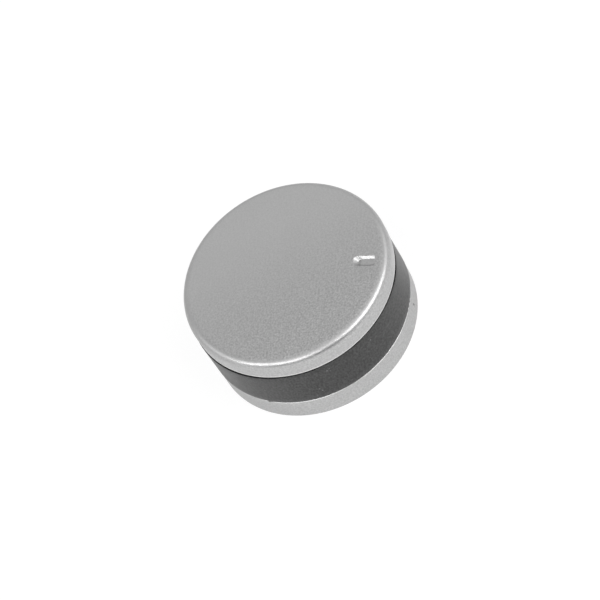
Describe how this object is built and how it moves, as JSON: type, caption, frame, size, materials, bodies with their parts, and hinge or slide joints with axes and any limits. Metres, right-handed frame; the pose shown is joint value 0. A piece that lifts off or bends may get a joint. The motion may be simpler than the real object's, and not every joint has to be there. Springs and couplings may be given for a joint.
{
  "type": "control knob",
  "caption": "Round push-on control knob with a silver face cap, a sunk pointer mark, a dark rubber grip band, a silver base ring and a sprung D-shaft hub.",
  "frame": {"origin": "on the axis of the knob, in the plane of the underside of its base ring", "axes": "+Z along the axis towards the face, +Y towards the pointer mark"},
  "size_m": [0.0442, 0.0442, 0.0203],
  "materials": {
    "silver_paint": "fine silver metallic paint, satin",
    "grip_rubber": "matte, faintly dusty",
    "painted_body": "fine silver metallic paint outside, bare grey moulding inside",
    "spring_steel": "rolled strip"
  },
  "bodies": {
    "root": {"front_cap": "silver_paint", "grip_band": "grip_rubber", "knob_body": "painted_body", "spring_collar": "spring_steel"}
  },
  "joints": []
}
